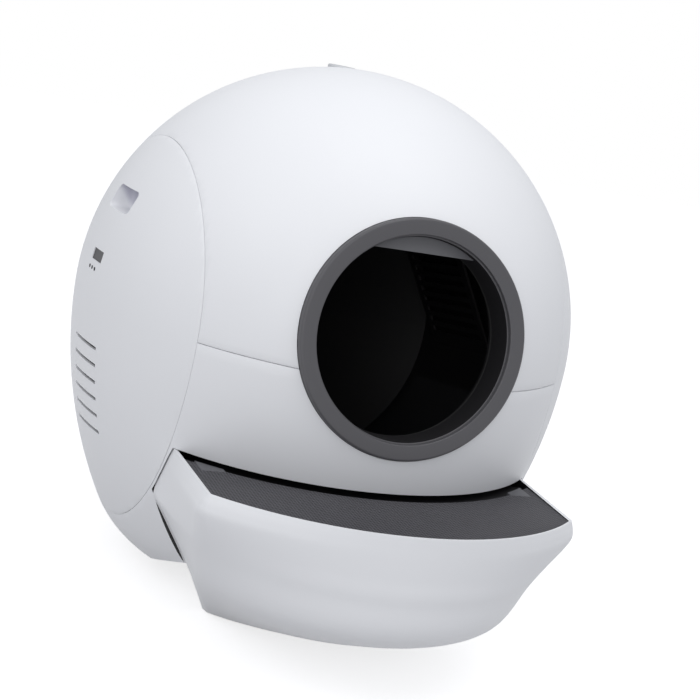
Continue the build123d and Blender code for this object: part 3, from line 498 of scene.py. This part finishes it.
# the step tray's sections, from its lip down to its flat bottom, in shares of its three sizes:
# each row gives a depth, the corner's width and reach, the front's reach and the corner's radius
tray = {
    "reach": 0.3867,
    "halfWidth": 0.198,
    "slot": 0.0032,
    "slotHalf": 0.206,
    "slotFront": -0.35,
    "slotFoot": -0.3,
    "creaseDrop": 0.1765,
    "drop": 0.299,
    "back": -0.148,
    "wall": 0.003,
    "gap": 0.0015,
    "levelShares": (
        (0.3846, 0.980, 0.7836, 0.9904, 0.045),
        (0.4214, 1.005, 0.7836, 0.9925, 0.071),
        (0.4582, 1.013, 0.778, 0.9944, 0.111),
        (0.5284, 0.9822, 0.75, 0.9969, 0.202),
        (0.6087, 0.9394, 0.6982, 0.9982, 0.3535),
        (0.7492, 0.8485, 0.6077, 0.9749, 0.5556),
        (0.8696, 0.7576, 0.4913, 0.7991, 0.4545),
        (0.9565, 0.6717, 0.4448, 0.631, 0.13),
        (1.0, 0.624, 0.405, 0.535, 0.035),
    ),
    "backWidths": (
        (-0.115, 0.1982), (-0.131, 0.199), (-0.152, 0.2011), (-0.176, 0.202), (-0.188, 0.1922),
        (-0.203, 0.1822), (-0.219, 0.1718), (-0.235, 0.1614), (-0.260, 0.1465), (-0.286, 0.1328),
        (-0.299, 0.126),
    ),
    "rowsPerLevel": 7,
    "linePoints": 8,
    "cornerPoints": 14,
    "frontPoints": 22,
    "edgeSoftness": 0.0008,
    "binTop": (0.1433, -0.1999),
    "binFoot": (0.1143, -0.2808),
    "binReach": (0.1, -0.2),
    "rearTop": -0.210,
    "padRadius": 0.012,
    "padTop": -0.2988,
    "padFoot": -0.301,
    "padX": 0.070,
    "padY": -0.172,
    # the next three set where the rim's painted shade reaches
    "rimShadeFoot": -0.145,
    "rimShadeSlope": 0.6,
    "rimShadeMiddle": -0.2,
}
slotBack = tray["back"] + tray["slot"]


def backWidth(height):
    # the tray's half width where it leaves the housing, with a crease where its side turns in
    stops = tray["backWidths"]
    for (high, wide), (low, narrow) in zip(stops, stops[1:]):
        if height >= low:
            return wide + (narrow - wide) * min(max((height - high) / (low - high), 0), 1)
    return stops[-1][1]


def levelSizes(shares):
    depth, corner, cornerY, front, radius = shares
    wide, reach = tray["halfWidth"], tray["reach"]
    return [-tray["drop"] * depth, wide * corner, -reach * cornerY, -reach * front, wide * radius]


def levelOutline(sizes, inset=0.0, back=None):
    # points of one level from the back right corner round the front to the back left corner
    height, cornerWidth, cornerY, front, radius = sizes
    back = tray["back"] if back is None else back
    # an inset draws the whole outline in
    backHalf, cornerWidth = backWidth(height) - inset, cornerWidth - inset
    cornerY, front, radius = cornerY + inset / 2, front + inset, radius - inset / 2
    sag = cornerY - front
    arcRadius = (cornerWidth ** 2 + sag ** 2) / (2 * sag)
    middle = Vector((0, front + arcRadius))
    start, corner = Vector((backHalf, back)), Vector((cornerWidth, cornerY))
    along = (corner - start).normalized()
    inward = Vector((along.y, -along.x))
    # the corner's round touches both the side's line and the front's arc
    offset = start + inward * radius - middle
    half = offset.dot(along)
    reach = -half + math.sqrt(half ** 2 - offset.length_squared + (arcRadius - radius) ** 2)
    hub = middle + offset + along * reach
    onLine = hub - inward * radius
    outward = (hub - middle).normalized()
    points = [start.lerp(onLine, i / tray["linePoints"]) for i in range(tray["linePoints"])]
    first = math.atan2(-inward.y, -inward.x)
    last = math.atan2(outward.y, outward.x)
    for i in range(tray["cornerPoints"]):
        angle = first + (last - first) * i / tray["cornerPoints"]
        points.append(hub + radius * Vector((math.cos(angle), math.sin(angle))))
    for i in range(tray["frontPoints"] + 1):
        angle = last + (-math.pi / 2 - last) * i / tray["frontPoints"]
        points.append(middle + arcRadius * Vector((math.cos(angle), math.sin(angle))))
    points += [Vector((-p.x, p.y)) for p in reversed(points[:-1])]
    return [Vector((p.x, p.y, height)) for p in points]


def easedLevels():
    # a smooth curve through the levels, carried on straight past both ends
    levels = [levelSizes(shares) for shares in tray["levelShares"]]
    knots = [[2 * a - b for a, b in zip(levels[0], levels[1])]] + levels
    knots.append([2 * a - b for a, b in zip(levels[-1], levels[-2])])
    rows = []
    for k in range(1, len(knots) - 2):
        for i in range(tray["rowsPerLevel"]):
            t = i / tray["rowsPerLevel"]
            row = []
            for a, b, c, d in zip(*knots[k - 1:k + 3]):
                row.append(0.5 * (2 * b + (c - a) * t + (2 * a - 5 * b + 4 * c - d) * t ** 2
                                  + (3 * b - a - 3 * c + d) * t ** 3))
            rows.append(row)
    return rows + [levels[-1]]


def trayHull(name, inset=0.0, top=None, back=None):
    # the sections are the rows of one grid, closed at the bottom; with a top it is a closed tool
    rows = easedLevels()
    if top is not None:
        rows = [[top] + rows[0][1:]] + rows
    grid = [levelOutline(row, inset, back) for row in rows]
    across = len(grid[0])
    starts = [r * across for r in range(len(grid))]
    faces = [(here + c, there + c, there + c + 1, here + c + 1)
             for here, there in zip(starts, starts[1:]) for c in range(across - 1)]
    faces.append(tuple(starts[-1] + c for c in range(across)))
    if top is not None:
        faces.append(tuple(range(across)))
        faces.append(tuple(starts + [first + across - 1 for first in reversed(starts)]))
    mesh = bpy.data.meshes.new(name)
    mesh.from_pydata([centre + p for row in grid for p in row], [], faces)
    obj = bpy.data.objects.new(name, mesh)
    bpy.context.collection.objects.link(obj)
    editAll(obj)
    bpy.ops.mesh.normals_make_consistent(inside=False)
    leaveEdit()
    return obj


# upper shell, with a tongue inside its edge and a well for the knob, and lower shell
shells = {
    "cutFrom": 0.15,
    "cutRadius": 0.1205,
    "flangeRadius": 0.131,
    "tongueOuter": 0.2748,
    "tongueInner": 0.2723,
    "tongueLow": -0.008,
    "tongueHigh": 0.025,
    "tongueInset": 0.008,
    "knobY": 0.097,
    "wellRadius": 0.0169,
    "wellOuter": 0.0195,
    "wellTop": 0.2615,
    "wellFloor": 0.2435,
    "wellFoot": 0.241,
    "wellSpan": (0.2, 0.3),
    "shellEdgeDrop": 0.1145,
    "inletRadius": 0.008,
    "inletDrop": 0.228,
    "inletFrom": 0.2,
    "wallMargin": 0.0003,
    "gapShadeMargin": 0.0005,
}
knobPlace = placeAt(0, shells["knobY"])


def entranceTool(radius, sides=192):
    return addRod("entranceTool", radius, shells["cutFrom"], far, drumFrame, sides)


middleSkin = twin(wholeSkin, "middleSkin")
for side in (-1, 1):
    seamCut(middleSkin, side, -body["seamGap"])

upperShell = twin(middleSkin, "upperShell")
cutOff(upperShell, centre + Vector((0, 0, body["splitGap"] / 2)), (0, 0, -1))
thicken(upperShell, body["wall"])
softenEdges(upperShell, body["edgeSoftness"])
carve(upperShell, entranceTool(shells["cutRadius"]),
      addRod("wellCut", shells["wellRadius"], *shells["wellSpan"], knobPlace, sides=64))
band = hoop(shells["tongueOuter"], shells["tongueInner"], shells["tongueLow"], shells["tongueHigh"])
tongue = turned("tongue", band, closed=True)
carve(tongue, entranceTool(shells["flangeRadius"], sides=96))
for side in (-1, 1):
    seamCut(tongue, side, -shells["tongueInset"], fill=True)
wellOutline = [(0, shells["wellFoot"]), (shells["wellOuter"], shells["wellFoot"]),
               (shells["wellOuter"], shells["wellTop"]), (shells["wellRadius"], shells["wellTop"]),
               (shells["wellRadius"], shells["wellFloor"]), (0, shells["wellFloor"])]
joined(upperShell, tongue, turned("well", wellOutline, knobPlace, steps=64))
finished(upperShell, "top_cover", shellWhite, "upper_shell")

lowerShell = twin(middleSkin, "lowerShell")
cutOff(lowerShell, centre - Vector((0, 0, body["splitGap"] / 2)), (0, 0, 1))
thicken(lowerShell, body["wall"])
softenEdges(lowerShell, body["edgeSoftness"])
inletPlace = placeAt(0, 0, -shells["inletDrop"]) @ Matrix.Rotation(-math.pi / 2, 4, "X")
carve(lowerShell, entranceTool(shells["cutRadius"]),
      trayHull("trayCut", -tray["gap"], -shells["shellEdgeDrop"], slotBack),
      addBlock("slotCut", (-tray["slotHalf"], tray["slotFront"], tray["slotFoot"]),
               (tray["slotHalf"], slotBack, -tray["creaseDrop"])),
      addRod("inletCut", shells["inletRadius"], shells["inletFrom"], far, inletPlace, sides=48))
finished(lowerShell, "housing", shellWhite, "lower_shell")


def blacken(obj, isBlack):
    obj.data.materials.append(insideBlack)
    for face in obj.data.polygons:
        if isBlack(face):
            face.material_index = 1


def onGapShade(face):
    # the wall's cut faces at the tray's opening are painted black as painted shade for the deep gap, across
    # the wall but not on the skin
    spot = face.center - centre
    flankX = body["ballRadius"] - body["flankRadius"]
    depth = body["flankRadius"] - math.hypot(math.hypot(spot.x, spot.y) - flankX, spot.z)
    across = shells["wallMargin"] < depth < body["wall"] - shells["wallMargin"]
    low = spot.z < shells["gapShadeMargin"] - shells["shellEdgeDrop"]
    return across and low and spot.y < slotBack + shells["gapShadeMargin"]


# painted shade: the black on the cut faces stands for the shadow in the gap
blacken(lowerShell, onGapShade)
discard(middleSkin)
print("shells cut")


# side covers with their grip pockets, and on the left the display, keys and vents
cover = {
    "cutFrom": 0.2,
    "gripY": -0.0325,
    "gripZ": 0.1045,
    "gripLength": 0.057,
    "gripHeight": 0.025,
    "gripCorner": 0.006,
    "gripDepth": 0.236,
    "gripOut": 0.3,
    "hollowOut": 0.32,
    "gripWall": 0.002,
    "gripPlay": 0.0001,
    "gripSink": 0.0005,
    "ventCount": 6,
    "ventPitch": 0.018,
    "ventTop": -0.049,
    "ventY": -0.040,
    "ventLength": 0.064,
    "ventHeight": 0.0036,
    "ventRound": 0.45,
    "screenY": -0.0355,
    "screenZ": 0.0425,
    "screenSize": (0.029, 0.012),
    "screenTo": 0.35,
    "keyYs": (-0.022, -0.030, -0.038),
    "keyZ": 0.028,
    "keyRadius": 0.0021,
    "keySpan": (0.22, 0.3),
}


def roundedBar(name, x0, x1, y, z, length, height, corner):
    # a bar along X whose section is a rounded rectangle
    obj = addBlock(name, (x0, y - length / 2, z - height / 2), (x1, y + length / 2, z + height / 2))
    editAll(obj)
    bpy.ops.mesh.select_all(action="DESELECT")
    leaveEdit()
    for edge in obj.data.edges:
        a, b = (obj.data.vertices[i].co for i in edge.vertices)
        edge.select = abs(a.x - b.x) > abs(x1 - x0) / 2
    bpy.ops.object.mode_set(mode="EDIT")
    bpy.ops.mesh.select_mode(type="EDGE")
    bpy.ops.mesh.bevel(offset=corner, segments=6, affect="EDGES")
    leaveEdit()
    return obj


def sideCover(name, side):
    obj = twin(wholeSkin, name)
    seamCut(obj, side, 0, keepOutside=True)
    thicken(obj, body["wall"])
    softenEdges(obj, body["edgeSoftness"])
    low, high = sorted((side * cover["cutFrom"], side * far))
    carve(obj, roundedBar(name + "Grip", low, high, cover["gripY"], cover["gripZ"],
                          cover["gripLength"] + cover["gripPlay"], cover["gripHeight"] + cover["gripPlay"],
                          cover["gripCorner"]))
    return obj


def gripPocket(name, side):
    # a cup for the fingers, open outwards, flush with the skin
    inner = side * cover["gripDepth"]
    low, high = sorted((inner, side * cover["gripOut"]))
    grow = 2 * cover["gripWall"]
    cup = roundedBar(name, low, high, cover["gripY"], cover["gripZ"], cover["gripLength"] + grow,
                     cover["gripHeight"] + grow, cover["gripCorner"] + cover["gripWall"])
    low, high = sorted((inner + side * cover["gripWall"], side * cover["hollowOut"]))
    carve(cup, roundedBar("hollow", low, high, cover["gripY"], cover["gripZ"], cover["gripLength"],
                          cover["gripHeight"], cover["gripCorner"]))
    sunk = body["ballRadius"] - cover["gripSink"]
    return carve(cup, turned("innerBall", arcRun(0, 0, sunk, 90, -90, 48), steps=96), operation="INTERSECT")


leftCover = sideCover("leftCover", -1)
for row in range(cover["ventCount"]):
    ventZ = cover["ventTop"] - row * cover["ventPitch"]
    carve(leftCover, roundedBar("vent", -far, -cover["cutFrom"], cover["ventY"], ventZ, cover["ventLength"],
                                cover["ventHeight"], cover["ventHeight"] * cover["ventRound"]))
screenTurn = math.asin(-cover["screenY"] / body["ballRadius"])
screenRise = math.asin(cover["screenZ"] / body["ballRadius"])
screenPlace = (ballFrame @ Matrix.Rotation(screenTurn, 4, "Z") @ Matrix.Rotation(screenRise, 4, "Y")
               @ Matrix.Rotation(-math.pi / 2, 4, "Y") @ Matrix.Rotation(math.pi / 2, 4, "Z"))
wide, tall = cover["screenSize"]
carve(leftCover, addBlock("screenCut", (-wide / 2, -tall / 2, cover["cutFrom"]),
                          (wide / 2, tall / 2, cover["screenTo"]), screenPlace))
for keyY in cover["keyYs"]:
    keyPlace = placeAt(0, keyY, cover["keyZ"]) @ Matrix.Rotation(-math.pi / 2, 4, "Y")
    carve(leftCover, addRod("keyCut", cover["keyRadius"], *cover["keySpan"], keyPlace, sides=24))
finished(leftCover, "housing", shellWhite, "left_cover")
rightCover = sideCover("rightCover", 1)
finished(rightCover, "housing", shellWhite, "right_cover")
leftGrip = gripPocket("leftGrip", -1)
finished(leftGrip, "housing", pocketWhiteWithShade, "left_grip_pocket")
rightGrip = gripPocket("rightGrip", 1)
finished(rightGrip, "housing", pocketWhiteWithShade, "right_grip_pocket")
discard(wholeSkin)
print("side covers cut")


# entry ring: a proud dark ring with rounded edges, a small inner step and a short throat
ring = {
    "outer": 0.120,
    "inner": 0.102,
    "face": 0.262,
    "back": 0.236,
    "round": 0.0028,
    "stepIn": 0.1035,
    "stepDepth": 0.005,
    "bead": 0.0008,
    "throatEnd": 0.226,
    "throatRadius": 0.100,
    "wall": 0.003,
    "flange": 0.130,
    "liningDepth": 0.009,
    "liningMargin": 0.0002,
}


def ringOutline():
    edge, bead, wall = ring["round"], ring["bead"], ring["wall"]
    face, step = ring["face"], ring["face"] - ring["stepDepth"]
    points = [(ring["outer"], ring["back"])]
    points += arcRun(ring["outer"] - edge, face - edge, edge, 0, 90)
    points += arcRun(ring["stepIn"] + edge / 2, face - edge / 2, edge / 2, 90, 180)
    points += [(ring["stepIn"], step)]
    points += arcRun(ring["inner"] + bead, step - bead, bead, 90, 180, 4)
    points += [(ring["throatRadius"], ring["throatEnd"]), (ring["throatRadius"] + wall, ring["throatEnd"]),
               (ring["inner"] + wall, step - wall), (ring["outer"] - wall, step - wall),
               (ring["outer"] - wall, ring["back"])]
    return points


entryRing = turned("entryRing", ringOutline(), drumFrame, steps=256, closed=True)
flangeOutline = hoop(ring["flange"], ring["outer"] - touch, ring["back"], ring["back"] + ring["wall"])
flange = turned("flange", flangeOutline, drumFrame, steps=128, closed=True)
carve(flange, addBlock("belowSplit", (-far, -far, -far), (far, far, touch)))
joined(entryRing, flange)
finished(entryRing, "top_cover", trimGrey, "entry_bezel", angle=40)
drumInverse = drumFrame.inverted()


def inThroat(face):
    # the throat behind the inner step is black
    spot = drumInverse @ face.center
    deep = spot.z < ring["face"] - ring["liningDepth"]
    return deep and math.hypot(spot.x, spot.y) < ring["inner"] + ring["liningMargin"]


blacken(entryRing, inThroat)

# the visor, a thin disc cut to a straight lower edge
visor = {
    "radius": 0.1014,
    "edge": 0.0855,
    "setback": 0.011,
    "thickness": 0.003,
    "softness": 0.0008,
}
visorFace = ring["face"] - visor["setback"]
visorPlate = addRod("visorPlate", visor["radius"], visorFace - visor["thickness"], visorFace, drumFrame,
                    sides=192)
cutOff(visorPlate, drumFrame @ Vector((0, visor["edge"], 0)), drumFrame.to_3x3() @ Vector((0, -1, 0)),
       fill=True)
softenEdges(visorPlate, visor["softness"], segments=3)
finished(visorPlate, "top_cover", visorGrey, "sensor_visor")

# the motion sensor's board, wholly behind the visor
sensor = {
    "boardLow": (-0.030, 0.0865, 0.2441),
    "boardHigh": (0.030, 0.0960, 0.2457),
    "eyeLow": (-0.006, 0.0875, 0.2455),
    "eyeHigh": (0.006, 0.0945, 0.2479),
}
sensorBoard = addBlock("sensorBoard", sensor["boardLow"], sensor["boardHigh"], drumFrame)
joined(sensorBoard, addBlock("sensorEye", sensor["eyeLow"], sensor["eyeHigh"], drumFrame))
finished(sensorBoard, "top_cover", boardGreen, "sensor_board")
print("entrance ringed")


# release knob behind the top, with a shallow dish
knob = {
    "radius": 0.0165,
    "top": 0.2775,
    "height": 0.0294,
    "round": 0.002,
    "dish": 0.0006,
    "dishEdge": 0.01155,
    "dishFloor": 0.01023,
}
knobOutline = [(0, knob["top"] - knob["height"]), (knob["radius"], knob["top"] - knob["height"])]
knobOutline += arcRun(knob["radius"] - knob["round"], knob["top"] - knob["round"], knob["round"], 0, 90)
knobOutline += [(knob["dishEdge"], knob["top"]), (knob["dishFloor"], knob["top"] - knob["dish"]),
                (0, knob["top"] - knob["dish"])]
releaseKnob = turned("releaseKnob", knobOutline, knobPlace, steps=64)
finished(releaseKnob, "release_knob", knobGrey, "release_knob")


# the drawer's flared tray, with its rear wall that holds the bin
stepTray = trayHull("stepTray")
thicken(stepTray, tray["wall"])
softenEdges(stepTray, tray["edgeSoftness"], segments=3, angle=60)
rearHeights = [row[0] for row in easedLevels() if row[0] < tray["rearTop"]]
rearPoints = [Vector((backWidth(height) - touch, tray["back"], height)) for height in rearHeights]
rearPoints += [Vector((-p.x, p.y, p.z)) for p in reversed(rearPoints)]
rearWall = drawChain("rearWall", [centre + p for p in rearPoints])
bpy.ops.mesh.select_all(action="SELECT")
bpy.ops.mesh.edge_face_add()
bpy.ops.mesh.extrude_region_move(TRANSFORM_OT_translate={"value": (0, -tray["wall"], 0)})
tidyNormals()
leaveEdit()
carve(rearWall, taperedBar("binTool", tray["binTop"], tray["binFoot"], *tray["binReach"]))
pads = [addRod("pad", tray["padRadius"], tray["padFoot"], tray["padTop"],
               placeAt(side * tray["padX"], tray["padY"]), sides=48) for side in (-1, 1)]
joined(stepTray, rearWall, *pads)
finished(stepTray, "drawer", shellWhite, "drawer_front", angle=40)


def inRimShade(face):
    # the rim's inner wall is painted black down to the deck, painted shade for the shadow inside the lip
    spot = face.center - centre
    inwards = face.normal.dot(Vector((spot.x, spot.y - tray["rimShadeMiddle"], 0))) < 0
    return inwards and spot.z > tray["rimShadeFoot"] and abs(face.normal.z) < tray["rimShadeSlope"]


# painted shade: the rim's inner wall turns black
blacken(stepTray, inRimShade)
print("tray drawn:", len(stepTray.data.polygons), "faces")


# the perforated mat on the step, with two plain tabs at its back corners
stepMat = {
    "inset": 0.005,
    "bottom": -0.123,
    "thickness": 0.006,
    "backRadius": 0.2791,
    "tabRadius": 0.2741,
    "cutFoot": -0.2,
    "tabInner": 0.158,
    "tabOuter": 0.183,
    "tabFront": -0.233,
    "tabLift": 0.0003,
    "softness": 0.0009,
}


def matSlab(name):
    sizes = levelSizes(tray["levelShares"][1])
    sizes[0] = stepMat["bottom"]
    points = levelOutline(sizes, stepMat["inset"])
    obj = drawChain(name, [centre + p for p in points])
    bpy.ops.mesh.select_all(action="SELECT")
    bpy.ops.mesh.edge_face_add()
    bpy.ops.mesh.extrude_region_move(TRANSFORM_OT_translate={"value": (0, 0, stepMat["thickness"])})
    tidyNormals()
    leaveEdit()
    return obj


perforatedMat = matSlab("perforatedMat")
carve(perforatedMat, addRod("matCut", stepMat["backRadius"], stepMat["cutFoot"], 0, ballFrame, sides=256))
softenEdges(perforatedMat, stepMat["softness"], angle=60)
finished(perforatedMat, "step_mat", matRubber, "step_mat")
for side in (-1, 1):
    low, high = sorted((side * stepMat["tabInner"], side * stepMat["tabOuter"]))
    tab = matSlab("matTab" + ("Left" if side < 0 else "Right"))
    carve(tab, addBlock("tabBlock", (low, stepMat["tabFront"], stepMat["cutFoot"]), (high, 0, 0)),
          operation="INTERSECT")
    carve(tab, addRod("tabCut", stepMat["tabRadius"], stepMat["cutFoot"], 0, ballFrame, sides=256))
    editAll(tab)
    bpy.ops.transform.translate(value=(0, 0, stepMat["tabLift"]))
    leaveEdit()
    softenEdges(tab, stepMat["softness"], angle=60)
    finished(tab, "step_mat", tabGrey, "step_mat")
print("mat laid")


# studio: pale floor, soft even light, and the photograph's camera with its slight roll
studio = {
    "floorSize": 12,
    "floorColour": (0.5, 0.5, 0.51, 1),
    "floorGlow": 0.72,
    "worldColour": (0.95, 0.97, 1.0, 1),
    "worldStrength": 0.66,
    "cameraPlace": (-0.602748, -1.482257, 0.622608),
    "cameraLens": 75.76,
    "sensorWidth": 36,
    "clipEnd": 50,
    "view": (0.37833, 0.90168, -0.20940),
    "right": (0.92212, -0.38691, 0),
    "up": (0.08102, 0.19309, 0.97783),
    "roll": 0.205,
}

bpy.ops.object.select_all(action="DESELECT")
bpy.ops.mesh.primitive_plane_add(size=studio["floorSize"], location=(0, 0, 0))
floor = bpy.context.object
floor.name = "studioFloor"
white = (1, 1, 1, 1)
floorBoard = Board("studioFloor")
# camera, glossy and transmission rays see the floor's glow, which puts no light on the object
cameraRay, glossyRay, clearRay = (floorBoard.add("ShaderNodeLightPath", output=ray) for ray in (0, 3, 6))
matt = floorBoard.add("ShaderNodeBsdfDiffuse", {}, {"Color": studio["floorColour"]})
glow = floorBoard.add("ShaderNodeEmission", {}, {"Color": white, "Strength": studio["floorGlow"]})
lifted = floorBoard.add("ShaderNodeAddShader", {}, {0: matt, 1: glow})
seen = cameraRay.most(glossyRay).most(clearRay)
floor.data.materials.append(
    floorBoard.shows(floorBoard.add("ShaderNodeMixShader", {}, {0: seen, 1: matt, 2: lifted})))

worldBoard = Board("studioWorld", bpy.data.worlds)
softLight = {"Color": studio["worldColour"], "Strength": studio["worldStrength"]}
softGrey = worldBoard.add("ShaderNodeBackground", {}, softLight)
plainWhite = worldBoard.add("ShaderNodeBackground", {}, {"Color": white, "Strength": 1})
backdropSeen = worldBoard.add("ShaderNodeLightPath")
backdrop = worldBoard.add("ShaderNodeMixShader", {}, {0: backdropSeen, 1: softGrey, 2: plainWhite})
bpy.context.scene.world = worldBoard.shows(backdrop, "ShaderNodeOutputWorld")

lamps = {
    "overhead": {"place": (0.3, -0.5, 2.2), "aim": (0, 0, 0.35), "size": 2.0, "power": 14.5},
    "front": {"place": (-1.2, -2.4, 1.0), "aim": (0, 0, 0.3), "size": 1.2, "power": 9},
    "leftTop": {"place": (-2.2, -1.0, 2.2), "aim": (0, 0, 0.3), "size": 1.6, "power": 13},
}
for lampName, lamp in lamps.items():
    light = bpy.data.lights.new(lampName, "AREA")
    light.shape = "DISK"
    light.size = lamp["size"]
    light.energy = lamp["power"]
    holder = bpy.data.objects.new(lampName, light)
    bpy.context.collection.objects.link(holder)
    holder.location = lamp["place"]
    aim = Vector(lamp["aim"]) - Vector(lamp["place"])
    holder.rotation_euler = aim.to_track_quat("-Z", "Y").to_euler()

cameraData = bpy.data.cameras.new("photoCamera")
cameraData.lens = studio["cameraLens"]
cameraData.sensor_width = studio["sensorWidth"]
cameraData.clip_end = studio["clipEnd"]
camera = bpy.data.objects.new("photoCamera", cameraData)
bpy.context.collection.objects.link(camera)
view, right, up = (Vector(studio[key]).normalized() for key in ("view", "right", "up"))
rollCos, rollSin = math.cos(studio["roll"]), math.sin(studio["roll"])
cameraRight = right * rollCos + up * rollSin
cameraUp = up * rollCos - right * rollSin
cameraTurn = Matrix((cameraRight, cameraUp, -view)).transposed().to_4x4()
camera.matrix_world = Matrix.Translation(studio["cameraPlace"]) @ cameraTurn
bpy.context.scene.camera = camera
bpy.context.scene.view_settings.view_transform = "Standard"
print("studio set")
